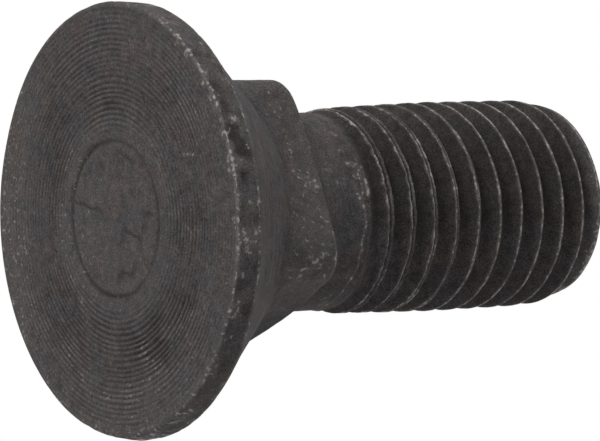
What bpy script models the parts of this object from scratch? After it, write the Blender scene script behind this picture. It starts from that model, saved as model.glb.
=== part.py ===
"""Plow bolt: a flat head, a cone under it, a square neck and a right-hand coarse thread.

The bolt stands on its head. The head face is at z = 0, centred on the origin,
and the shank points up along +Z. The flats of the neck face +X, -X, +Y and -Y.

The skin is made of columns, one for each angle around the axis. A column is a
profile: a list of (radius, height) points that climbs from the middle of the
head face to the middle of the thread end.
"""

from math import atan2, ceil, cos, hypot, pi, radians, sin, sqrt, tan, tau

import bmesh
import bpy

MM = 0.001
INCH = 0.0254

# Right-hand thread of 7/8 inch with 9 turns to the inch, its flanks 60 degrees to the axis
BOLT_LENGTH = 2.25 * INCH
THREAD_DIAMETER = 0.875 * INCH
THREAD_START = 23.5 * MM
THREAD_PITCH = INCH / 9
FLANK_ANGLE = radians(60)
CREST_WIDTH = THREAD_PITCH / 8
ROOT_WIDTH = THREAD_PITCH / 4

# Plain shank: rolling the thread squeezes its crests up by this much from the shank
CREST_RISE = THREAD_PITCH / 3
SHANK_DIAMETER = THREAD_DIAMETER - 2 * CREST_RISE

# The groove sinks in over one turn, and the first crests rise only part of the way
RUNOUT = THREAD_PITCH
FIRST_RISE = CREST_RISE / 2
CREST_FILL = 5 * THREAD_PITCH

# Tip: the last crests drop gently to a shoulder, then a chamfer ends the bolt
LEAD_LENGTH = 3.5 * MM
LEAD_DROP = 0.8 * MM
CHAMFER_LENGTH = 2.2 * MM
CHAMFER_ANGLE = radians(47)

# Square neck as wide as the thread, with the corners left round by the forging
NECK_WIDTH = THREAD_DIAMETER
NECK_CORNER = 3.3 * MM
NECK_END = 17.8 * MM
NECK_EDGE = 1.0 * MM
NECK_BLEND = 3.2 * MM

# Head: a thin straight rim, then a cone that runs up to the square neck
HEAD_DIAMETER = 43.7 * MM
RIM_HEIGHT = 2.75 * MM
RIM_EDGE = 0.4 * MM
CONE_ANGLE = radians(88)
CONE_FILLET = 0.8 * MM

# Shallow ring stamped in the head face
RING_DIAMETER = 15.6 * MM
RING_WIDTH = 0.8 * MM
RING_DEPTH = 0.15 * MM

# Columns of the skin in each quarter turn, and steps along each rounded edge
FLAT_COLUMNS = 14
CORNER_COLUMNS = 6
EDGE_STEPS = 2
FILLET_STEPS = 3

# Points closer than this are one point, and edges steeper than this look sharp
JOIN_DISTANCE = 0.001 * MM
SHARP_ANGLE = radians(28)

# Black oxide over steel
STEEL_COLOR = (0.055, 0.052, 0.050, 1.0)
STEEL_METALLIC = 0.6
STEEL_ROUGHNESS = 0.55


def ramp(value, start, length):
    """0 up to the start, 1 from the start plus the length on, straight in between."""
    return min(max((value - start) / length, 0.0), 1.0)


def curve(first, corner, last, steps):
    """Points from first to last that round off the corner between them."""
    points = []
    for step in range(steps + 1):
        t = step / steps
        radius = (1 - t) ** 2 * first[0] + 2 * t * (1 - t) * corner[0] + t ** 2 * last[0]
        height = (1 - t) ** 2 * first[1] + 2 * t * (1 - t) * corner[1] + t ** 2 * last[1]
        points.append((radius, height))
    return points


def toward(start, end, distance):
    """The point the distance away from start on the way to end, or halfway if that is nearer."""
    share = min(distance / hypot(end[0] - start[0], end[1] - start[1]), 0.5)
    return (start[0] + share * (end[0] - start[0]), start[1] + share * (end[1] - start[1]))


def corner_angle():
    """Angle from the middle of a flat, seen from the axis, to where the round corner starts."""
    return atan2(NECK_WIDTH / 2 - NECK_CORNER, NECK_WIDTH / 2)


def neck_radius(angle):
    """Distance from the axis to the skin of the square neck."""
    from_flat = (angle + pi / 4) % (pi / 2) - pi / 4
    if abs(from_flat) <= corner_angle():
        return NECK_WIDTH / 2 / cos(from_flat)
    to_center = (NECK_WIDTH / 2 - NECK_CORNER) * sqrt(2)
    from_corner = pi / 4 - abs(from_flat)
    across = to_center * sin(from_corner)
    return to_center * cos(from_corner) + sqrt(NECK_CORNER ** 2 - across ** 2)


def column_angles():
    """Angles of the columns over one full turn, with the first one again at the end."""
    flat = corner_angle()
    angles = []
    for quarter in range(4):
        middle = quarter * pi / 2
        for step in range(FLAT_COLUMNS):
            angles.append(middle + flat * (2 * step / FLAT_COLUMNS - 1))
        for step in range(CORNER_COLUMNS):
            angles.append(middle + flat + (pi / 2 - 2 * flat) * step / CORNER_COLUMNS)
    turned = sorted(angle % tau for angle in angles)
    return turned + [turned[0] + tau]


def head_profile(neck):
    """From the middle of the head face to the foot of the square neck."""
    rim = HEAD_DIAMETER / 2
    ring = RING_DIAMETER / 2
    cone_top = (neck, RIM_HEIGHT + (rim - neck) / tan(CONE_ANGLE / 2))
    cone_foot = (rim, RIM_HEIGHT)
    neck_end = (neck, NECK_END)
    profile = [(0.0, 0.0), (ring - RING_WIDTH / 2, 0.0), (ring, RING_DEPTH)]
    profile += [(ring + RING_WIDTH / 2, 0.0)]
    profile += curve((rim - RIM_EDGE, 0.0), (rim, 0.0), (rim, RIM_EDGE), EDGE_STEPS)
    profile += curve(
        toward(cone_foot, (rim, 0.0), RIM_EDGE),
        cone_foot,
        toward(cone_foot, cone_top, RIM_EDGE),
        EDGE_STEPS,
    )
    profile += curve(
        toward(cone_top, cone_foot, CONE_FILLET),
        cone_top,
        toward(cone_top, neck_end, CONE_FILLET),
        FILLET_STEPS,
    )
    return profile


def neck_end_profile(neck):
    """From the side of the square neck over its rounded end to the plain shank."""
    shank = SHANK_DIAMETER / 2
    edge = min(NECK_EDGE, (neck - shank) / 3)
    profile = curve(
        (neck, NECK_END - edge), (neck, NECK_END), (neck - edge, NECK_END), EDGE_STEPS
    )
    blend = curve(
        (neck - edge, NECK_END), (shank, NECK_END), (shank, NECK_END + NECK_BLEND), FILLET_STEPS
    )
    return profile + blend[1:]


def tip_radius(height):
    """Radius that the gentle lead and the chamfer leave at the height."""
    shoulder_height = BOLT_LENGTH - CHAMFER_LENGTH
    lead = LEAD_DROP * ramp(height, shoulder_height - LEAD_LENGTH, LEAD_LENGTH)
    chamfer = max(height - shoulder_height, 0.0) * tan(CHAMFER_ANGLE)
    return THREAD_DIAMETER / 2 - lead - chamfer


def crest_radius(height):
    """Radius of the thread crest: low at first, full after some turns, low again at the tip."""
    shank = SHANK_DIAMETER / 2
    first = FIRST_RISE * ramp(height, THREAD_START, RUNOUT)
    rest = (CREST_RISE - FIRST_RISE) * ramp(height, THREAD_START + RUNOUT, CREST_FILL)
    return min(shank + first + rest, tip_radius(height))


def root_radius(height):
    """Radius of the thread root, which sinks from the plain shank to the full depth."""
    shank = SHANK_DIAMETER / 2
    flank_width = (THREAD_PITCH - CREST_WIDTH - ROOT_WIDTH) / 2
    depth = flank_width * tan(FLANK_ANGLE)
    root = THREAD_DIAMETER / 2 - depth
    sunk = shank + (root - shank) * ramp(height, THREAD_START, RUNOUT)
    return min(sunk, tip_radius(height))


def thread_profile(angle):
    """From the start of the thread to the rim of the thread end, one groove per pitch."""
    groove = [
        (CREST_WIDTH / 2, crest_radius),
        ((THREAD_PITCH - ROOT_WIDTH) / 2, root_radius),
        ((THREAD_PITCH + ROOT_WIDTH) / 2, root_radius),
        (THREAD_PITCH - CREST_WIDTH / 2, crest_radius),
    ]
    turns = ceil((BOLT_LENGTH - THREAD_START) / THREAD_PITCH)
    profile = []
    for turn in range(-1, turns + 1):
        crest_height = THREAD_START + (turn + angle / tau) * THREAD_PITCH
        for offset, radius_at in groove:
            height = min(max(crest_height + offset, THREAD_START), BOLT_LENGTH)
            profile.append((radius_at(height), height))
    return profile


def bolt_profile(angle):
    neck = neck_radius(angle)
    shank_end = [(SHANK_DIAMETER / 2, THREAD_START)]
    middle_of_end = [(0.0, BOLT_LENGTH)]
    lower = head_profile(neck) + neck_end_profile(neck) + shank_end
    return lower + thread_profile(angle) + middle_of_end


def add_column(skin, angle):
    column = []
    for radius, height in bolt_profile(angle):
        place = (radius * cos(angle), radius * sin(angle), height)
        column.append(skin.verts.new(place))
    return column


def bolt_mesh():
    """Skin between the columns; points that fall on each other are joined into one."""
    skin = bmesh.new()
    columns = [add_column(skin, angle) for angle in column_angles()]
    for left, right in zip(columns, columns[1:]):
        for row in range(len(left) - 1):
            skin.faces.new((left[row], right[row], right[row + 1], left[row + 1]))
    bmesh.ops.remove_doubles(skin, verts=skin.verts, dist=JOIN_DISTANCE)
    bmesh.ops.recalc_face_normals(skin, faces=skin.faces)
    mesh = bpy.data.meshes.new("plow_bolt")
    skin.to_mesh(mesh)
    skin.free()
    return mesh


def blackened_steel():
    material = bpy.data.materials.new("blackened_steel")
    material.use_nodes = True
    shader = material.node_tree.nodes["Principled BSDF"]
    shader.inputs["Base Color"].default_value = STEEL_COLOR
    shader.inputs["Metallic"].default_value = STEEL_METALLIC
    shader.inputs["Roughness"].default_value = STEEL_ROUGHNESS
    material.diffuse_color = STEEL_COLOR
    return material


def build_bolt():
    mesh = bolt_mesh()
    mesh.materials.append(blackened_steel())
    mesh.shade_smooth()
    mesh.set_sharp_from_angle(angle=SHARP_ANGLE)
    bolt = bpy.data.objects.new("plow_bolt", mesh)
    bpy.context.scene.collection.objects.link(bolt)
    return bolt


def clear_scene():
    for item in list(bpy.data.objects):
        bpy.data.objects.remove(item, do_unlink=True)


clear_scene()
build_bolt()
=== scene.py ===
"""Looks of the plow bolt: fine skins for the head and the threaded shank, steel, floor and light.

The bolt stands on its head, so the photograph's camera looks up at the head face
from below the floor, which is clear from that side.

A skin is made of profiles, one for each angle around the axis. A profile is a list of
(radius, height) points. Each skin has a shape function that moves its points a little,
and a wear and a grime function for the two values that the steel reads at each point:
wear bares the metal, and grime darkens it. Both also carry painted light and shade:
in places the wear is raised to paint light and lowered to paint shade, and the grime
is raised to paint shade and lowered to paint light.
"""

from math import atan2, ceil, cos, exp, hypot, pi, radians, sin, sqrt, tan, tau

import bmesh
import bpy
from mathutils import Matrix, Vector, noise


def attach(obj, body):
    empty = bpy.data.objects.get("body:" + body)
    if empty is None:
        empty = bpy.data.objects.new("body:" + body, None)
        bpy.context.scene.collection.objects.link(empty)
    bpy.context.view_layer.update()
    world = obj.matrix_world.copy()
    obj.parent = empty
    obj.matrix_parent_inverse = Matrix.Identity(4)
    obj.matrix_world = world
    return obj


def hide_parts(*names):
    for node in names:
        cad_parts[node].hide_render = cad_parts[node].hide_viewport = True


MM = 0.001
INCH = 0.0254

# Thread, shank, neck and head, with the sizes of the CAD
BOLT_LENGTH = 2.25 * INCH
THREAD_DIAMETER = 0.875 * INCH
THREAD_START = 23.5 * MM
THREAD_PITCH = INCH / 9
FLANK_ANGLE = radians(60)
CREST_RISE = THREAD_PITCH / 3
FIRST_RISE = CREST_RISE / 2
CREST_FILL = 5 * THREAD_PITCH
SHANK_RADIUS = THREAD_DIAMETER / 2 - CREST_RISE
LEAD_LENGTH = 3.5 * MM
LEAD_DROP = 0.8 * MM
CHAMFER_LENGTH = 2.2 * MM
CHAMFER_ANGLE = radians(47)
SHOULDER_HEIGHT = BOLT_LENGTH - CHAMFER_LENGTH
NECK_WIDTH = THREAD_DIAMETER
NECK_CORNER = 3.3 * MM
NECK_END = 17.8 * MM
NECK_BLEND = 3.2 * MM
RIM_RADIUS = 21.85 * MM
RIM_HEIGHT = 2.75 * MM
CONE_ANGLE = radians(88)

# Edges, crests, roots and tip, which are finer or rounder than in the CAD
FACE_EDGE = 0.5 * MM
FOOT_FILLET = 1.6 * MM
NECK_EDGE = 1.25 * MM
CREST_HALF = 0.10 * MM
CREST_ROUNDING = 0.06 * MM
THREAD_DEPTH = 1.6 * MM
ROOT_ROUNDING = 0.7 * MM
TIP_ROUNDING = 0.25 * MM

# Head face: turned grooves around a worn ring, and dents inside it
GROOVE_PITCH = 0.535 * MM
GROOVE_DEPTH = 0.11 * MM
RING_RADIUS = 7.8 * MM
RING_WIDTH = 0.7 * MM
RING_DEPTH = 0.18 * MM
DENT_DEPTH = 0.2 * MM

# Handling marks on the rim, by their angles around the bolt in degrees
NICK_ANGLES = [-30, -25, -14, -9, -6, 2, 9, 12, 25]
PIT_ANGLES = [-23, -12, -4, 3]
MARK_WIDTH = 0.45 * MM

# Grime of the plain shank where it is cleanest
LEAST_GRIME = 0.06

# Columns of points around the axis, for a full render and for a quick one
COLUMNS = 384

# Rows of points for each turned groove, inside the ring and outside it
INNER_ROWS = 3
OUTER_ROWS = 6

# Rows of points for each turn of the thread, as shares of the pitch, closer near the crest
TURN_ROWS = [
    0, 0.03, 0.06, 0.09, 0.12, 0.15, 0.19, 0.25, 0.34, 0.45,
    0.55, 0.66, 0.75, 0.81, 0.85, 0.88, 0.91, 0.94, 0.97,
]

# Points of a skin that are closer than this are one point
JOIN_DISTANCE = 0.002 * MM

# The skins stay this far inside the sides of the CAD box
BOX_GAP = 0.01 * MM

# Camera: the photograph is 600 pixels wide and its camera stood 0.35 m away
IMAGE_WIDTH = 600
FOCAL_PIXELS = 3405
CAMERA_TARGET = Vector((-0.36, 0.78, 22.86)) * MM
CAMERA_DISTANCE = 351.0 * MM
TOWARD_CAMERA = Vector((0.7391, 0.3217, -0.5918))
CAMERA_UP = Vector((0.4224, -0.9058, 0.0351))

# Angles around the bolt of what lies at the bottom, middle, top and left of the picture
PICTURE_BOTTOM = radians(115)
PICTURE_MIDDLE = radians(25)
PICTURE_TOP = radians(-65)
PICTURE_LEFT = radians(205)

# Steel: its colours, and the sizes of its patches and grain
OXIDE_COOL = (0.0580, 0.0556, 0.0588, 1)
OXIDE_WARM = (0.0705, 0.0596, 0.0570, 1)
# The dark colour is used both for grime and for painted shade.
DARK_OXIDE_AND_SHADE = (0.0230, 0.0204, 0.0192, 1)
BARE_STEEL = (0.272, 0.252, 0.235, 1)
PATCH_SIZE = 5 * MM
BLOTCH_SIZE = 1.1 * MM
SPECK_PITCH = 0.9 * MM
BREAK_SIZE = 0.48 * MM
BUMP_SIZE = 0.3 * MM
BUMP_DEPTH = 0.03 * MM
GRAIN_SIZE = 0.17 * MM

# Stage: the floor lies just under the head face, and the lamps aim at the bolt's middle
WHITE = (1, 1, 1, 1)
FLOOR_COLOR = (0.8, 0.8, 0.8, 1)
FLOOR_GLOW = 0.35
FLOOR_REACH = 3.0
FLOOR_HEIGHT = -0.2 * MM
FILL_STRENGTH = 0.38
BOLT_MIDDLE = Vector((0, 0, 28 * MM))

# Sockets of a mix node that carry colours
MIX_FIRST = 6
MIX_SECOND = 7
MIX_RESULT = 2


# Shaping helpers


def ramp(value, start, length):
    """0 up to the start, 1 from the start plus the length on, straight in between."""
    return min(max((value - start) / length, 0.0), 1.0)


def smooth(value, start, length):
    """As ramp, with soft ends."""
    t = ramp(value, start, length)
    return t * t * (3 - 2 * t)


def band(value, middle, width):
    """1 at the middle, falling softly to 0 beyond the width."""
    return exp(-(((value - middle) / width) ** 2))


def turn_between(a, b):
    """Smallest angle between two directions around the axis."""
    return abs((a - b + pi) % tau - pi)


def facing(angle, middle, width):
    """1 on the side of the bolt at the middle angle, falling softly to 0 beyond the width."""
    return band(turn_between(angle, middle), 0.0, width)


def low_side(angle):
    """1 on the side at the bottom of the picture, -1 on the side at its top."""
    return cos(angle - PICTURE_BOTTOM)


def spot(radius, height, angle):
    return Vector((radius * cos(angle), radius * sin(angle), height))


def nearest_mark(angle, marks):
    """1 at a mark of the rim, falling softly to 0 beside it."""
    nearest = min(turn_between(angle, radians(mark)) for mark in marks)
    return band(nearest * RIM_RADIUS, 0.0, MARK_WIDTH)


def streak(place, start, end, width):
    """1 on the straight line from start to end, falling softly to 0 beside it."""
    along = end - start
    share = min(max((place - start).dot(along) / along.length_squared, 0.0), 1.0)
    return band((start + share * along - place).length, 0.0, width)


def scratch(place, reach, start, end, width):
    """A streak at one distance from the axis; its ends are heights in mm and angles in degrees."""
    start_spot = spot(reach, start[0] * MM, radians(start[1]))
    end_spot = spot(reach, end[0] * MM, radians(end[1]))
    return streak(place, start_spot, end_spot, width)


def soft_min(a, b, width):
    """The smaller of two values, rounded over the width where they are close."""
    mix = max(width - abs(a - b), 0.0) / width
    return min(a, b) - mix * mix * width / 4


def soft_max(a, b, width):
    return -soft_min(-a, -b, width)


def rough(place, size, seed):
    """Smooth noise between about -1 and 1, with features of the given size."""
    return noise.noise(place / size + Vector((seed, 7.3 * seed, 1.7)))


def curve(first, corner, last, steps):
    """Points after first up to last that round off the corner between them."""
    points = []
    for step in range(1, steps + 1):
        t = step / steps
        radius = (1 - t) ** 2 * first[0] + 2 * t * (1 - t) * corner[0] + t ** 2 * last[0]
        height = (1 - t) ** 2 * first[1] + 2 * t * (1 - t) * corner[1] + t ** 2 * last[1]
        points.append((radius, height))
    return points


def line(start, end, steps):
    """Points after start up to end."""
    points = []
    for step in range(1, steps + 1):
        t = step / steps
        points.append((start[0] + t * (end[0] - start[0]), start[1] + t * (end[1] - start[1])))
    return points


def toward(start, end, distance):
    """The point the distance away from start on the way to end, or halfway if that is nearer."""
    share = min(distance / hypot(end[0] - start[0], end[1] - start[1]), 0.5)
    return (start[0] + share * (end[0] - start[0]), start[1] + share * (end[1] - start[1]))


# Head face


def groove_wave(radius):
    """0 on the ridges and 1 in the turned grooves, with a slightly uneven pitch."""
    drift = 0.35 * noise.noise(Vector((radius / (1.4 * MM), 2.0, 5.0)))
    return 0.5 - 0.5 * cos(tau * (radius / GROOVE_PITCH + drift))


def groove_strength(radius, place):
    """How clearly the grooves show: none at the ring, worn off in patches and near the edge."""
    starts = smooth(radius, RING_RADIUS + 0.3 * MM, 2.5 * MM)
    worn_rim = 1 - 0.55 * smooth(radius, 17.5 * MM, 3 * MM)
    patches = 0.78 + 1.1 * rough(place, 6 * MM, 3) + 0.4 * rough(place, 1.5 * MM, 4)
    more_below = 1 + 0.25 * place.normalized().dot(spot(1, 0, PICTURE_BOTTOM))
    return starts * worn_rim * more_below * min(max(patches, 0.1), 1.4)


def ring_strength(angle):
    """The ring is crisp on two sides and worn thin between them."""
    crisp = 1 - smooth(turn_between(angle, radians(190)), radians(75), radians(50))
    return 0.5 + 0.5 * max(crisp, 0.8 * facing(angle, radians(20), radians(32)))


def ring_groove(radius, angle, place):
    """1 in the middle of the ring where it is crisp, 0 beside it."""
    middle = RING_RADIUS * (1 + 0.02 * rough(place, 5 * MM, 5))
    return ring_strength(angle) * band(radius, middle, 0.42 * RING_WIDTH)


def inside_ring(radius):
    """1 on the middle of the head face, 0 outside the ring."""
    return 1 - smooth(radius, 6.5 * MM, 1.5 * MM)


def dent_noise(place):
    """Noise that the dents inside the ring follow, and the grime at their edges too."""
    return rough(place, 2.8 * MM, 6)


def face_height(radius, angle):
    """How far the head face lies in: turned grooves, the worn ring, and dents inside it."""
    place = spot(radius, 0.0, angle)
    grooves = GROOVE_DEPTH * groove_wave(radius) * groove_strength(radius, place)
    ring = RING_DEPTH * ring_groove(radius, angle, place)
    dents = DENT_DEPTH * inside_ring(radius) * smooth(dent_noise(place), -0.05, 0.3)
    wander = 0.03 * MM * (1 + rough(place, 5 * MM, 9))
    wander += 0.012 * MM * (1 + rough(place, 0.6 * MM, 8))
    before_edge = 1 - smooth(radius, RIM_RADIUS - FACE_EDGE - 0.6 * MM, 0.6 * MM)
    return (grooves + ring + dents + wander) * before_edge


def face_profile(angle):
    """From the middle of the head face to just before its edge."""
    edge = RIM_RADIUS - FACE_EDGE
    inner = RING_RADIUS - RING_WIDTH
    profile = line((0.0, 0.0), (inner, 0.0), ceil(inner / GROOVE_PITCH * INNER_ROWS))
    profile += line((inner, 0.0), (edge, 0.0), ceil((edge - inner) / GROOVE_PITCH * OUTER_ROWS))
    return [(0.0, 0.0)] + profile


def head_skew(radius, height, angle):
    """The head was forged a little off the axis, with flats and a bulge in its rim."""
    front_flat = 0.22 * MM * facing(angle, radians(230), radians(18))
    front = 0.30 * MM * cos(angle - PICTURE_LEFT) - 0.14 * MM - front_flat
    bulge = 0.75 * MM * facing(angle, radians(132), radians(34))
    back_flat = 0.20 * MM * facing(angle, radians(-35), radians(22))
    back = bulge - back_flat - 0.16 * MM * cos(angle - PICTURE_MIDDLE) - 0.19 * MM
    return (front + (back - front) * ramp(height, 0.0, 3 * MM)) * smooth(radius, 14 * MM, 6 * MM)


def shape_face(radius, height, angle):
    """Moves a point of the head face in by its grooves and dents, and sideways with the rim."""
    return radius + head_skew(radius, height, angle), face_height(radius, angle)


def edge_handling(angle):
    """How much the edge of the head face was rubbed: less at the top of the picture."""
    return 1 - 0.6 * facing(angle, radians(-62), radians(26))


def chip_noise(place):
    """Noise that breaks up the rubbed edges of the rim."""
    return rough(place, 0.9 * MM, 23) + 0.5 * rough(place, 3 * MM, 24)


def face_handling_and_light(radius, angle, place):
    """Broad soft lightening of the head face: wear in its middle, its outer part and its low side,
    and painted light on its left side.
    """
    handled_and_lit = 0.09 * smooth(place.dot(spot(1, 0, PICTURE_BOTTOM)), 6 * MM, 15 * MM)
    # Painted light: the left side of the face, lit from the left, is made lighter here and just
    # below.
    handled_and_lit += 0.22 * smooth(place.dot(spot(1, 0, PICTURE_LEFT)), 11 * MM, 9 * MM)
    in_middle = 1 - smooth(radius, 9.8 * MM, 1.8 * MM)
    more_left = 0.09 * facing(angle, PICTURE_LEFT, radians(60)) * smooth(radius, 0.0, 5 * MM)
    handled_and_lit += (0.15 + more_left) * in_middle
    return handled_and_lit + 0.10 * smooth(radius, 15.5 * MM, 2 * MM)


def face_wear_and_light(radius, height, angle):
    place = spot(radius, 0.0, angle)
    at_edge = edge_handling(angle) * smooth(radius, RIM_RADIUS - 1.1 * MM, 0.6 * MM)
    chips = smooth(chip_noise(place), -0.1, 0.7)
    chips += 0.3 * facing(angle, PICTURE_BOTTOM, radians(40))
    near_rim = smooth(radius, RIM_RADIUS - 1.5 * MM, 0.8 * MM)
    nicks = 0.85 * near_rim * nearest_mark(angle, NICK_ANGLES)
    ridges = (1 - groove_wave(radius)) * groove_strength(radius, place)
    # Painted highlight: the ridges low in the picture are brighter than their wear alone would
    # make them.
    ridge_highlight_zone = facing(angle, radians(108), radians(38)) * band(radius, 16 * MM, 3 * MM)
    ridges *= (0.25 + 0.25 * ridge_highlight_zone) * smooth(rough(place, 3 * MM, 25), -0.3, 0.6)
    handled_and_lit = face_handling_and_light(radius, angle, place)
    start = spot(13.8 * MM, 0, radians(-2.3))
    end = spot(15.9 * MM, 0, radians(1.7))
    thin_scratch = 0.7 * streak(place, start, end, 0.13 * MM)
    return max(0.32 * at_edge * chips + ridges + handled_and_lit, nicks, thin_scratch)


def face_grime_and_shade(radius, height, angle):
    place = spot(radius, 0.0, angle)
    lines = 0.6 * groove_wave(radius) ** 2 * groove_strength(radius, place)
    # Painted shade: the ring groove is darkened as the shaded wall of a groove, most where the
    # ring is crisp.
    ring = 0.9 * ring_groove(radius, angle, place)
    dents = 0.35 * inside_ring(radius) * band(dent_noise(place), 0.1, 0.1)
    return min(lines + ring + dents, 1.0)


# Head: rim, cone and square neck


def neck_radius(angle):
    """Distance from the axis to the skin of the square neck."""
    half = NECK_WIDTH / 2
    straight = half - NECK_CORNER
    from_flat = (angle + pi / 4) % (pi / 2) - pi / 4
    if abs(from_flat) <= atan2(straight, half):
        return half / cos(from_flat)
    to_center = straight * sqrt(2)
    from_corner = pi / 4 - abs(from_flat)
    across = to_center * sin(from_corner)
    return to_center * cos(from_corner) + sqrt(NECK_CORNER ** 2 - across ** 2)


def rim_height(angle):
    """The rim was forged a little thicker on two sides."""
    return RIM_HEIGHT + 0.25 * MM * cos(2 * (angle - PICTURE_BOTTOM))


def cone_top(angle):
    """Height at which the cone meets the neck."""
    return rim_height(angle) + (RIM_RADIUS - neck_radius(angle)) / tan(CONE_ANGLE / 2)


def on_cone(height, angle, fade):
    """1 on the cone, falling to 0 over the fade above it."""
    past_cone = smooth(height, cone_top(angle), fade)
    return smooth(height, rim_height(angle), 1 * MM) * (1 - past_cone)


def neck_end(angle):
    """The end of the neck lies a little higher on the flat at +Y and beside one corner."""
    on_flat = 0.5 * MM * facing(angle, radians(92), radians(35))
    return NECK_END + on_flat + 0.18 * MM * facing(angle, radians(-30), radians(11))


def past_neck(height):
    """0 on the head, 1 where its skin meets the shank's and has to look the same."""
    return smooth(height, NECK_END + 1.2 * MM, 1.8 * MM)


def head_profile(angle):
    """From just inside the edge of the head face to the plain shank."""
    rim = RIM_RADIUS
    neck = neck_radius(angle)
    foot = (rim, rim_height(angle))
    top = (neck, cone_top(angle))
    end = (neck, neck_end(angle))
    face_edge = (rim - FACE_EDGE, 0.0)
    rim_start = (rim, FACE_EDGE)
    rim_end = toward(foot, (rim, 0), FACE_EDGE)
    cone_start = toward(foot, top, FACE_EDGE)
    fillet_start = toward(top, foot, FOOT_FILLET)
    fillet_end = toward(top, end, FOOT_FILLET)
    edge = min(NECK_EDGE, (neck - SHANK_RADIUS) / 3)
    edge_start = (neck, end[1] - edge)
    edge_end = (neck - edge, end[1])
    fullness = 0.28 * (edge_end[0] - SHANK_RADIUS)
    blend_corner = (SHANK_RADIUS + fullness, end[1] + fullness / 2)
    blend_end = (SHANK_RADIUS, NECK_END + NECK_BLEND)
    profile = [face_edge]
    profile += curve(face_edge, (rim, 0.0), rim_start, steps=6)
    profile += line(rim_start, rim_end, steps=8)
    profile += curve(rim_end, foot, cone_start, steps=5)
    profile += line(cone_start, fillet_start, steps=64)
    profile += curve(fillet_start, top, fillet_end, steps=6)
    profile += line(fillet_end, edge_start, steps=14)
    profile += curve(edge_start, end, edge_end, steps=6)
    profile += curve(edge_end, blend_corner, blend_end, steps=12)
    return profile


def rim_pits(height, angle):
    """Deep pits in the side of the rim, just behind its front edge."""
    return nearest_mark(angle, PIT_ANGLES) * (1 - smooth(height, 1.0 * MM, 0.8 * MM))


def rim_noise(place):
    """Noise that the dents in the side of the rim follow, and the grime in them too."""
    return rough(place, 1.5 * MM, 15)


def shape_head(radius, height, angle):
    """Moves a point of the head as forging, trimming and handling left it."""
    place = spot(radius, height, angle)
    off_face = smooth(height, 0.0, 0.3 * MM)
    off_end = 1 - smooth(height, NECK_END + 1.5 * MM, 1.5 * MM)
    skew = head_skew(radius, height, angle)
    lumps = 0.06 * MM * rough(place, 4 * MM, 11) + 0.03 * MM * rough(place, 1.2 * MM, 13)
    on_rim = band(height, 1.4 * MM, 1.4 * MM) * smooth(radius, RIM_RADIUS - 0.6 * MM, 0.4 * MM)
    dents = 0.5 * MM * max(rim_noise(place) - 0.15, 0.0) + 0.15 * MM * rim_pits(height, angle)
    radius += skew + off_face * (off_end * (lumps - 0.05 * MM) - on_rim * dents)
    radius += shaped_shank(place) * (1 - off_end)
    return radius, height + 0.05 * MM * off_face * on_rim * (1 + rough(place, 1.0 * MM, 16))


def shaped_shank(place):
    """Small lumps and dents of the rolled shank and thread, which lie a little off the axis."""
    lumps = 0.025 * MM * rough(place, 2.5 * MM, 17) + 0.012 * MM * rough(place, 0.8 * MM, 19)
    off_axis = 0.04 * MM * cos(atan2(place.y, place.x) - PICTURE_TOP)
    return lumps + off_axis + 0.04 * MM


def scuff_noise(place, size):
    """Noise that the scuffs of the neck and of the plain shank follow."""
    return rough(place, size, 26) + 0.6 * rough(place, 0.5 * MM, 27)


def plain_wear(place):
    """Wear of the plain shank, where the head's skin meets the shank's."""
    return 0.06 + 0.45 * smooth(scuff_noise(place, 1.6 * MM), 0.15, 0.6)


def plain_grime_and_shade(angle):
    """Grime of the plain shank, with painted shade on its underside in the picture."""
    return LEAST_GRIME + 0.36 * facing(angle, radians(105), radians(42))


def rim_wear(radius, height, angle, place):
    """Wear of the rim: its front edge with the nicks, its rear edge, and its side."""
    chips = smooth(chip_noise(place), -0.1, 0.6)
    on_rim = smooth(radius, RIM_RADIUS - 0.7 * MM, 0.3 * MM)
    nicks = 0.95 * nearest_mark(angle, NICK_ANGLES)
    knocked = facing(angle, radians(5), radians(45))
    rubbed = edge_handling(angle) * (0.5 + (0.1 + 0.35 * knocked) * chips)
    front = on_rim * band(height, 0.1 * MM, 0.15 * MM) * max(rubbed, nicks)
    rear = on_rim * band(height, rim_height(angle), 0.2 * MM) * (0.5 + 0.3 * chips)
    side = on_rim * (0.12 + 0.40 * smooth(rough(place, 1.8 * MM, 28), 0.0, 0.4))
    side += on_rim * 0.3 * facing(angle, radians(130), radians(35))
    return max(front, rear, side)


def worn_corner(angle):
    """1 around the corner of the neck that handling has rubbed bright."""
    return facing(angle, radians(43), radians(12))


def flat_spot(across, height):
    """A point of the neck's flat at +X, by millimetres from its middle line and from the face."""
    return Vector((NECK_WIDTH / 2, across * MM, height * MM))


def neck_marks(place):
    """Scratches and scuffs on the flat at +X and on the round corner beside it."""
    reach = NECK_WIDTH / 2 + 3.2 * MM
    long = scratch(place, reach, (11.5, 46.7), (15.8, 46.7), 0.16 * MM)
    down = scratch(place, reach, (13.7, 42), (15.6, 45.5), 0.2 * MM)
    across = scratch(place, reach, (15.9, 41), (14.1, 44.5), 0.2 * MM)
    upper = streak(place, flat_spot(0.2, 14.6), flat_spot(1.6, 15.8), 0.45 * MM)
    lower = streak(place, flat_spot(1.4, 15.8), flat_spot(2.8, 16.8), 0.35 * MM)
    return max(0.85 * long, 0.9 * down, 0.9 * across, 0.58 * upper, 0.6 * lower)


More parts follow.
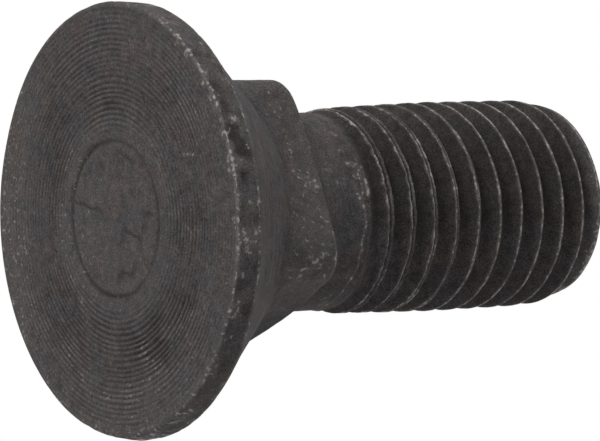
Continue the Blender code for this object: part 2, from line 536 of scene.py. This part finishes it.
def neck_wear_and_shade(radius, height, angle, place):
    """Wear of the neck: the edge at its end, the scuffs of its flats, and single marks, with fewer
    scuffs as painted shade on the lit top flat and on the underside.
    """
    corner = smooth(radius, 11.0 * MM, 1.2 * MM) * (0.25 + 0.75 * worn_corner(angle))
    end_edge = 0.9 * corner * band(height, neck_end(angle) - 0.42 * MM, 0.22 * MM)
    past_cone = smooth(height, cone_top(angle), 1.5 * MM)
    past_end = smooth(height, neck_end(angle) - 1.5 * MM, 3 * MM)
    # Painted shade: less wear on the flat at the top of the picture, where the light falls, and on
    # the underside.
    shade_on_lit_flat = 0.19 * facing(angle, PICTURE_TOP, radians(35))
    shaded_underside = 0.2 * facing(angle, radians(105), radians(32))
    scuffs = 0.27 - shade_on_lit_flat - shaded_underside - 0.2 * past_end
    scuffs += 0.26 * smooth(scuff_noise(place, 2.2 * MM), 0.0, 0.7)
    return max(end_edge, scuffs * past_cone, neck_marks(place))


def head_wear_and_shade(radius, height, angle):
    place = spot(radius, height, angle)
    behind_rim = neck_wear_and_shade(radius, height, angle, place)
    behind_rim += (plain_wear(place) - behind_rim) * past_neck(height)
    cone_rub = 0.17 * smooth(rough(place, 2.5 * MM, 52), -0.1, 0.5)
    behind_rim += cone_rub * on_cone(height, angle, 1.5 * MM)
    return min(rim_wear(radius, height, angle, place) + behind_rim, 1.0)


def head_grime_and_shade(radius, height, angle):
    place = spot(radius, height, angle)
    on_rim = smooth(radius, RIM_RADIUS - 0.4 * MM, 0.3 * MM)
    pitted = 0.3 + 0.7 * facing(angle, 0.0, radians(45))
    pits = max(pitted * smooth(rim_noise(place), 0.12, 0.25), rim_pits(height, angle))
    stretched = Vector((height / (0.4 * MM), 2 * cos(angle), 2 * sin(angle)))
    turned = (0.45 + 1.3 * noise.noise(stretched)) * on_cone(height, angle, 1 * MM)
    past_end = smooth(height, neck_end(angle) - 0.1 * MM, 0.5 * MM)
    stains = smooth(rough(place, 3 * MM, 33), 0.1, 0.5) * smooth(height, 8 * MM, 4 * MM)
    # Painted shade: the underside in the picture, and a band of the neck near its end where the
    # light falls.
    under = (plain_grime_and_shade(angle) - LEAST_GRIME) * smooth(height, 5 * MM, 4 * MM)
    end_shade = facing(angle, radians(-20), radians(24)) * band(height, 15.3 * MM, 1.3 * MM)
    # The shades: lines on the cone, a darker band past the neck end, stains, and the painted
    # shade.
    shades = 0.33 * turned + 0.18 * past_end + 0.15 * stains + under + 0.45 * end_shade
    shades += (plain_grime_and_shade(angle) - shades) * past_neck(height)
    return min(on_rim * max(0.9 * pits, 0.1) + shades, 1.0)


# Shank and thread


def tip_radius(height, angle):
    """Radius that the gentle lead and the chamfer leave; the chamfer was cut a little askew."""
    low = low_side(angle)
    shoulder = SHOULDER_HEIGHT + (0.40 * low + 0.05) * MM
    drop = LEAD_DROP + (0.07 + 0.18 * low) * MM
    lead = drop * ramp(height, shoulder - LEAD_LENGTH, LEAD_LENGTH)
    chamfer = max(height - shoulder, 0.0) * tan(CHAMFER_ANGLE)
    return THREAD_DIAMETER / 2 - lead - chamfer


def crest_radius(height):
    """Radius of the crests, which rise only part of the way over the first turns."""
    first = FIRST_RISE * ramp(height, THREAD_START, THREAD_PITCH)
    rest = (CREST_RISE - FIRST_RISE) * ramp(height, THREAD_START + THREAD_PITCH, CREST_FILL)
    return SHANK_RADIUS + first + rest


def crest_half(height):
    """Half the width of the crest, which is wider where the crest is low."""
    return CREST_HALF + 0.8 * (THREAD_DIAMETER / 2 - crest_radius(height)) / tan(FLANK_ANGLE)


def from_crest(height, angle):
    """Distance along the bolt from the nearest crest, negative before it."""
    turns = (height - THREAD_START) / THREAD_PITCH - angle / tau
    return ((turns + 0.5) % 1.0 - 0.5) * THREAD_PITCH


def early_turns(height):
    """1 at the first crests, which the rolling left low, wide and ragged, and 0 further up."""
    return 1 - ramp(height, THREAD_START + THREAD_PITCH, CREST_FILL)


def wobble(place):
    """How far the crests wander along the bolt."""
    fine = 0.05 + 0.10 * early_turns(place.z)
    return 0.07 * MM * rough(place, 2.0 * MM, 47) + fine * MM * rough(place, 0.8 * MM, 48)


def thread_radius(height, angle):
    """Radius of the rolled thread: flanks at 60 degrees, narrow crests, soft roots."""
    place = spot(SHANK_RADIUS, height, angle)
    distance = abs(from_crest(height, angle) + wobble(place))
    flank = THREAD_DIAMETER / 2 - (distance - CREST_HALF) * tan(FLANK_ANGLE)
    form = soft_max(flank, THREAD_DIAMETER / 2 - THREAD_DEPTH, ROOT_ROUNDING)
    start = THREAD_START + 0.5 * MM * (1 + rough(place, 3 * MM, 49))
    sunk = SHANK_RADIUS + (form - SHANK_RADIUS) * smooth(height, start, THREAD_PITCH)
    seam = 0.22 * MM * early_turns(height) * band(distance, 0.0, 0.6 * crest_half(height))
    seam *= ramp(height, THREAD_START, THREAD_PITCH)
    crested = soft_min(sunk, crest_radius(height) - seam, CREST_ROUNDING)
    return soft_min(crested, tip_radius(height, angle), TIP_ROUNDING)


def thread_profile(angle):
    """From the start of the thread to the rim of its end; every turn follows the helix."""
    turns = ceil((BOLT_LENGTH - THREAD_START) / THREAD_PITCH)
    profile = []
    for turn in range(-1, turns + 1):
        for share in TURN_ROWS:
            height = THREAD_START + (turn + angle / tau + share) * THREAD_PITCH
            height = min(max(height, THREAD_START), BOLT_LENGTH)
            profile.append((thread_radius(height, angle), height))
    return profile


def shank_profile(angle):
    """From the end of the head's skin to the middle of the thread end."""
    foot = (SHANK_RADIUS, NECK_END + NECK_BLEND)
    end_rim = (tip_radius(BOLT_LENGTH, angle), BOLT_LENGTH)
    profile = [foot]
    profile += line(foot, (SHANK_RADIUS, THREAD_START), steps=20)
    profile += thread_profile(angle)
    profile += line(end_rim, (0.0, BOLT_LENGTH), steps=6)
    return profile


def shape_shank(radius, height, angle):
    """Moves a point of the shank by its small lumps, but not the middle of its end."""
    place = spot(radius, height, angle)
    return max(radius + shaped_shank(place) * smooth(radius, 0.0, 2 * MM), 0.0), height


def start_line(height, angle, place):
    """1 on the wavy line where the thread starts, clearest on one side."""
    line_height = THREAD_START + 0.35 * MM * rough(place, 1.5 * MM, 29)
    clear = 0.3 + 0.7 * facing(angle, radians(35), radians(45))
    return band(height, line_height, 0.16 * MM) * clear


def shank_marks(place):
    """Bright scuffs where the plain shank meets the thread."""
    knock = scratch(place, SHANK_RADIUS, (24.0, 7), (24.1, 15), 0.24 * MM)
    upper = scratch(place, SHANK_RADIUS, (23.5, -3), (23.6, 6), 0.16 * MM)
    smear = scratch(place, SHANK_RADIUS, (22.4, 8), (23.2, 21), 0.4 * MM)
    return max(0.95 * knock, 0.75 * upper, 0.5 * smear)


def crest_lines(height, angle, place):
    """1 along both edges of the crests, with gaps along the far one."""
    offset = from_crest(height, angle) + wobble(place)
    edge = crest_half(height) - 0.05 * MM
    near_line = band(offset, -edge, 0.09 * MM)
    far_line = smooth(rough(place, 4 * MM, 42), -0.05, 0.35) * band(offset, edge, 0.08 * MM)
    past_start = smooth(height, THREAD_START, THREAD_PITCH)
    before_end = 1 - smooth(height, BOLT_LENGTH - 1.6 * MM, 1.0 * MM)
    return max(near_line, far_line) * past_start * before_end


def shank_wear_and_light(radius, height, angle):
    place = spot(radius, height, angle)
    scuffs = plain_wear(place)
    marks = shank_marks(place)
    plain = max(scuffs, start_line(height, angle, place) * (0.7 + scuffs), marks)
    if height <= THREAD_START:
        return plain
    low = low_side(angle)
    rubbed = 0.90 + 0.55 * rough(place, 2.2 * MM, 41)
    # Painted light: the crest lines are brighter on the low side and at the top of the picture.
    rubbed += 0.15 * low + 0.25 * smooth(-low, 0.45, 0.5)
    tip = (0.55 + 0.15 * low) * smooth(height, SHOULDER_HEIGHT - 1.5 * MM, 1.5 * MM)
    shown = plain * (1 - smooth(height, THREAD_START + 0.4 * MM, 0.5 * MM))
    return min(max(crest_lines(height, angle, place) * rubbed, tip * rubbed, shown, marks), 1.0)


def thread_grime_and_shade(height, angle, place):
    """Dark oxide and painted shade between the crests, less at the crest edges; lighter at the top
    and bottom of the picture as painted light.
    """
    distance = abs(from_crest(height, angle) + wobble(place))
    off_edge = smooth(abs(distance - crest_half(height) + 0.05 * MM), 0.06 * MM, 0.12 * MM)
    past_start = smooth(height, THREAD_START - 0.2 * MM, 0.5 * THREAD_PITCH)
    before_tip = 1 - 0.85 * smooth(height, SHOULDER_HEIGHT - 2 * MM, 1.5 * MM)
    low = low_side(angle)
    # Painted light and shade by side: a little darker above the middle, lighter on the low side
    # and at the top edge.
    around = 0.87 + 0.13 * band(low, -0.45, 0.3)
    around -= 0.62 * smooth(low, 0.0, 0.55)
    around -= 0.25 * smooth(-low, 0.75, 0.2)
    return off_edge * past_start * before_tip * around


def shank_grime_and_shade(radius, height, angle):
    # Grime of the plain shank with painted shade on its underside, and a darker band just before
    # the thread on one side.
    before_thread = 0.35 * facing(angle, radians(-12), radians(30))
    plain = plain_grime_and_shade(angle) + before_thread * smooth(height, 21.4 * MM, 1.0 * MM)
    if height <= THREAD_START:
        return plain
    in_thread = thread_grime_and_shade(height, angle, spot(radius, height, angle))
    return max(in_thread, plain * (1 - smooth(height, THREAD_START, 0.5 * THREAD_PITCH)))


# Skins


def make_skin(name, columns, profile_at, shape, wear_and_light_at, grime_and_shade_at):
    """A skin of one profile per column around the axis, with wear and grime, and painted light and
    shade, on its points.
    """
    places = []
    wear_and_light_values = []
    grime_and_shade_values = []
    for column in range(columns + 1):
        angle = tau * column / columns
        for radius, height in profile_at(angle):
            wear_and_light_values.append(wear_and_light_at(radius, height, angle))
            grime_and_shade_values.append(grime_and_shade_at(radius, height, angle))
            radius, height = shape(radius, height, angle % tau)
            places.append(inside_box(spot(radius, height, angle)))
    rows = len(places) // (columns + 1)
    faces = []
    for first in range(0, columns * rows, rows):
        for point in range(first, first + rows - 1):
            faces.append((point, point + rows, point + rows + 1, point + 1))
    mesh = bpy.data.meshes.new(name)
    mesh.from_pydata(places, [], faces)
    mesh.attributes.new("wear_and_light", "FLOAT", "POINT").data.foreach_set("value", wear_and_light_values)
    mesh.attributes.new("grime_and_shade", "FLOAT", "POINT").data.foreach_set("value", grime_and_shade_values)
    join_points(mesh)
    mesh.shade_smooth()
    return mesh


def inside_box(place):
    """Keeps a point inside the box around the CAD bolt."""
    side = RIM_RADIUS - BOX_GAP
    x = min(max(place.x, -side), side)
    y = min(max(place.y, -side), side)
    return (x, y, min(max(place.z, 0.0), BOLT_LENGTH))


def join_points(mesh):
    """Joins the points that fall on each other, as at the axis and where the turn closes."""
    skin = bmesh.new()
    skin.from_mesh(mesh)
    bmesh.ops.remove_doubles(skin, verts=skin.verts, dist=JOIN_DISTANCE)
    skin.to_mesh(mesh)
    skin.free()


def add_piece(name, mesh, material):
    piece = bpy.data.objects.new(name, mesh)
    bpy.context.scene.collection.objects.link(piece)
    mesh.materials.append(material)
    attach(piece, "root")
    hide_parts("plow_bolt")


def add_bolt():
    steel = black_steel()
    columns = COLUMNS
    face = make_skin("bolt_face", columns, face_profile, shape_face, face_wear_and_light, face_grime_and_shade)
    head = make_skin("bolt_head", columns, head_profile, shape_head, head_wear_and_shade, head_grime_and_shade)
    shank = make_skin("bolt_shank", columns, shank_profile, shape_shank, shank_wear_and_light, shank_grime_and_shade)
    add_piece("bolt_face", face, steel)
    add_piece("bolt_head", head, steel)
    add_piece("bolt_shank", shank, steel)


# Materials


class Board:
    """Short names for laying out one material's nodes."""

    def __init__(self, name):
        self.material = bpy.data.materials.new(name)
        self.material.use_nodes = True
        self.nodes = self.material.node_tree.nodes
        self.links = self.material.node_tree.links
        self.shader = self.nodes["Principled BSDF"]

    def plug(self, value, socket):
        """Links an output to the socket, or sets the socket to a plain value."""
        if isinstance(value, bpy.types.NodeSocket):
            self.links.new(value, socket)
        else:
            socket.default_value = value

    def place(self):
        return self.nodes.new("ShaderNodeTexCoord").outputs["Object"]

    def attribute(self, name):
        node = self.nodes.new("ShaderNodeAttribute")
        node.attribute_name = name
        return node.outputs["Fac"]

    def noise(self, size, detail, roughness):
        """Noise from 0 to 1 with features of the given size in metres."""
        node = self.nodes.new("ShaderNodeTexNoise")
        self.plug(self.place(), node.inputs["Vector"])
        self.plug(1 / size, node.inputs["Scale"])
        self.plug(detail, node.inputs["Detail"])
        self.plug(roughness, node.inputs["Roughness"])
        return node.outputs["Fac"]

    def math(self, kind, a, b):
        node = self.nodes.new("ShaderNodeMath")
        node.operation = kind
        self.plug(a, node.inputs[0])
        self.plug(b, node.inputs[1])
        return node.outputs[0]

    def spread(self, value, low, high, to_low=0.0, to_high=1.0):
        """Maps low..high to to_low..to_high and clamps it there."""
        node = self.nodes.new("ShaderNodeMapRange")
        self.plug(value, node.inputs["Value"])
        self.plug(low, node.inputs["From Min"])
        self.plug(high, node.inputs["From Max"])
        self.plug(to_low, node.inputs["To Min"])
        self.plug(to_high, node.inputs["To Max"])
        return node.outputs["Result"]

    def mix(self, share, a, b, kind="MIX"):
        node = self.nodes.new("ShaderNodeMix")
        node.data_type = "RGBA"
        node.blend_type = kind
        self.plug(share, node.inputs["Factor"])
        self.plug(a, node.inputs[MIX_FIRST])
        self.plug(b, node.inputs[MIX_SECOND])
        return node.outputs[MIX_RESULT]

    def bump(self, height, distance):
        node = self.nodes.new("ShaderNodeBump")
        self.plug(height, node.inputs["Height"])
        self.plug(distance, node.inputs["Distance"])
        self.plug(1.0, node.inputs["Strength"])
        self.plug(node.outputs["Normal"], self.shader.inputs["Normal"])


def specks(board):
    """Tiny bright chips scattered over the oxide."""
    cells = board.nodes.new("ShaderNodeTexVoronoi")
    board.plug(board.place(), cells.inputs["Vector"])
    board.plug(1 / SPECK_PITCH, cells.inputs["Scale"])
    chosen = board.spread(cells.outputs["Color"], 0.64, 0.78)
    near = board.spread(cells.outputs["Distance"], 0.06, 0.13, to_low=1.0, to_high=0.0)
    return board.math("MULTIPLY", chosen, near)


def dirty_and_shaded_oxide(board, grime_and_shade):
    """Black oxide in warm and cool patches, darker where grime and painted shade sit, blotchy and
    grainy.
    """
    patches = board.spread(board.noise(PATCH_SIZE, detail=4, roughness=0.6), 0.38, 0.62)
    oxide = board.mix(patches, OXIDE_COOL, OXIDE_WARM)
    dirty_and_shaded = board.mix(grime_and_shade, oxide, DARK_OXIDE_AND_SHADE)
    blotches = board.noise(BLOTCH_SIZE, detail=3, roughness=0.65)
    grain = board.noise(GRAIN_SIZE, detail=2, roughness=0.6)
    blotch_tone = board.spread(blotches, 0.25, 0.75, to_low=0.65, to_high=1.40)
    grain_tone = board.spread(grain, 0.25, 0.75, to_low=0.25, to_high=1.78)
    return board.mix(1.0, dirty_and_shaded, board.math("MULTIPLY", blotch_tone, grain_tone), "MULTIPLY")


def bare_metal(board, wear_and_light, grime_and_shade):
    """How much bare metal shows: rubbed through, worn thin, or chipped where it is clean; in
    places the wear value holds painted light.
    """
    broken = board.spread(board.noise(BREAK_SIZE, detail=2, roughness=0.55), 0.30, 0.70)
    rubbed = board.spread(board.math("ADD", wear_and_light, broken), 1.05, 1.45)
    worn_thin = board.math("MULTIPLY", wear_and_light, 0.28)
    chipped = board.math("SUBTRACT", board.math("MULTIPLY", specks(board), 0.6), grime_and_shade)
    return board.math("MAXIMUM", board.math("MAXIMUM", rubbed, worn_thin), chipped)


def black_steel():
    """Black oxide that wear, grime and painted light and shade, stored on the points of the skins,
    have changed.
    """
    board = Board("black_steel")
    shader = board.shader
    wear_and_light = board.attribute("wear_and_light")
    grime_and_shade = board.attribute("grime_and_shade")
    bare = bare_metal(board, wear_and_light, grime_and_shade)
    board.plug(board.mix(bare, dirty_and_shaded_oxide(board, grime_and_shade), BARE_STEEL), shader.inputs["Base Color"])
    board.plug(board.spread(bare, 0, 1, to_low=0.85, to_high=0.45), shader.inputs["Roughness"])
    board.plug(0.12, shader.inputs["Specular IOR Level"])
    board.bump(board.noise(BUMP_SIZE, detail=3, roughness=0.6), BUMP_DEPTH)
    return board.material


def pale_floor_material():
    """Pale from above, clear from below, so that the camera under the floor sees the head."""
    board = Board("pale_floor")
    shader = board.shader
    board.plug(FLOOR_COLOR, shader.inputs["Base Color"])
    board.plug(0.9, shader.inputs["Roughness"])
    board.plug(WHITE, shader.inputs["Emission Color"])
    board.plug(FLOOR_GLOW, shader.inputs["Emission Strength"])
    side = board.nodes.new("ShaderNodeNewGeometry")
    clear = board.nodes.new("ShaderNodeBsdfTransparent")
    mix = board.nodes.new("ShaderNodeMixShader")
    board.plug(side.outputs["Backfacing"], mix.inputs[0])
    board.plug(shader.outputs[0], mix.inputs[1])
    board.plug(clear.outputs[0], mix.inputs[2])
    board.plug(mix.outputs[0], board.nodes["Material Output"].inputs["Surface"])
    return board.material


# Stage


def add_floor():
    mesh = bpy.data.meshes.new("floor")
    corners = [(-1, -1), (1, -1), (1, 1), (-1, 1)]
    places = [(x * FLOOR_REACH, y * FLOOR_REACH, FLOOR_HEIGHT) for x, y in corners]
    mesh.from_pydata(places, [], [(0, 1, 2, 3)])
    mesh.materials.append(pale_floor_material())
    plane = bpy.data.objects.new("floor", mesh)
    bpy.context.scene.collection.objects.link(plane)
    plane.visible_shadow = False
    plane.visible_diffuse = False
    plane.visible_glossy = False


def set_world():
    """Soft even light, and a white background for the camera and for reflections."""
    world = bpy.data.worlds.new("studio")
    bpy.context.scene.world = world
    world.use_nodes = True
    nodes = world.node_tree.nodes
    links = world.node_tree.links
    fill = nodes["Background"]
    fill.inputs["Color"].default_value = WHITE
    fill.inputs["Strength"].default_value = FILL_STRENGTH
    backdrop = nodes.new("ShaderNodeBackground")
    backdrop.inputs["Color"].default_value = WHITE
    backdrop.inputs["Strength"].default_value = 1.0
    path = nodes.new("ShaderNodeLightPath")
    seen = nodes.new("ShaderNodeMath")
    seen.operation = "MAXIMUM"
    mix = nodes.new("ShaderNodeMixShader")
    links.new(path.outputs["Is Camera Ray"], seen.inputs[0])
    links.new(path.outputs["Is Glossy Ray"], seen.inputs[1])
    links.new(seen.outputs[0], mix.inputs[0])
    links.new(fill.outputs[0], mix.inputs[1])
    links.new(backdrop.outputs[0], mix.inputs[2])
    links.new(mix.outputs[0], nodes["World Output"].inputs["Surface"])


def add_lamp(name, place, size, energy):
    """A square soft lamp that points at the middle of the bolt."""
    light = bpy.data.lights.new(name, "AREA")
    light.size = size
    light.energy = energy
    lamp = bpy.data.objects.new(name, light)
    lamp.location = place
    lamp.rotation_euler = (BOLT_MIDDLE - place).to_track_quat("-Z", "Y").to_euler()
    bpy.context.scene.collection.objects.link(lamp)


def add_lights():
    """A key lamp high and left in the picture, one over the bolt's tip, and a weak low one."""
    right = CAMERA_UP.cross(TOWARD_CAMERA)
    key = -0.34 * right + 0.74 * CAMERA_UP + 0.58 * TOWARD_CAMERA
    low = 0.1 * right - 0.85 * CAMERA_UP + 0.45 * TOWARD_CAMERA
    add_lamp("key", 0.5 * key.normalized(), size=0.26, energy=2.05)
    add_lamp("top", Vector((0.1, -0.2, 0.7)), size=0.5, energy=1.4)
    add_lamp("low", 0.6 * low.normalized(), size=0.25, energy=0.25)


def add_camera():
    camera = bpy.data.cameras.new("camera")
    camera.sensor_fit = "HORIZONTAL"
    camera.lens = FOCAL_PIXELS / IMAGE_WIDTH * camera.sensor_width
    camera.clip_start = 0.01
    toward_camera = TOWARD_CAMERA.normalized()
    right = CAMERA_UP.cross(toward_camera).normalized()
    up = toward_camera.cross(right)
    turn = Matrix((right, up, toward_camera)).transposed().to_4x4()
    place = Matrix.Translation(CAMERA_TARGET + CAMERA_DISTANCE * toward_camera)
    holder = bpy.data.objects.new("camera", camera)
    holder.matrix_world = place @ turn
    bpy.context.scene.collection.objects.link(holder)
    bpy.context.scene.camera = holder


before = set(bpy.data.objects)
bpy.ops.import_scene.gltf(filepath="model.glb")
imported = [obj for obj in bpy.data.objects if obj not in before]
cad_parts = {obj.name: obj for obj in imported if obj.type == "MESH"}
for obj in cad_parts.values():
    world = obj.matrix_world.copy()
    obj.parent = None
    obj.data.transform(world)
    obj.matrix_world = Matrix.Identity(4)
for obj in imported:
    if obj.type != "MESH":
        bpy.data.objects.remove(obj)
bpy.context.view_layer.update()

add_bolt()
add_floor()
set_world()
add_lights()
add_camera()
bpy.context.scene.view_settings.view_transform = "Standard"
